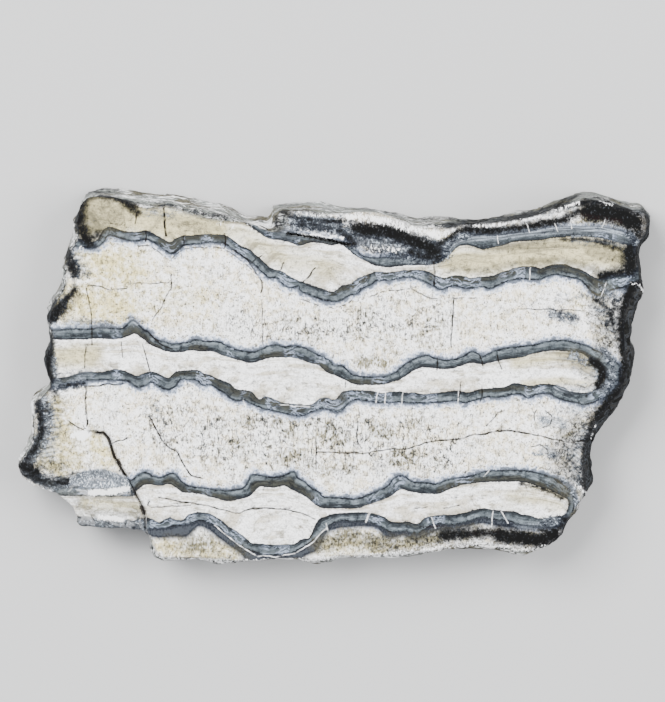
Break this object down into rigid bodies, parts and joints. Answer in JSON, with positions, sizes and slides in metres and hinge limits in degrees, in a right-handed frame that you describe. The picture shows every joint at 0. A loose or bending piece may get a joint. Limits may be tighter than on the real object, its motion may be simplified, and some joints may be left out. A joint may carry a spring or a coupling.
{
  "type": "columbian mammoth tooth slice",
  "caption": "Polished slab of fossil mammoth molar: wavy blue-grey enamel bands round cream dentine in pale cementum, with a weathered crust rim, lying flat on its sawn back",
  "frame": {"origin": "middle of the bounding box in X and Y, on the sawn back face", "axes": "+X along the enamel plates, the slice's longest way; +Y across the plates, towards the split edge at the top of the picture; +Z out of the polished face, the slice's thickness"},
  "size_m": [0.1018, 0.0607, 0.01],
  "materials": {
    "fossil_tooth": "polished fossil enamel, dentine and cementum with rough crust sides"
  },
  "bodies": {
    "root": {"tooth_slice": "fossil_tooth"}
  },
  "joints": []
}
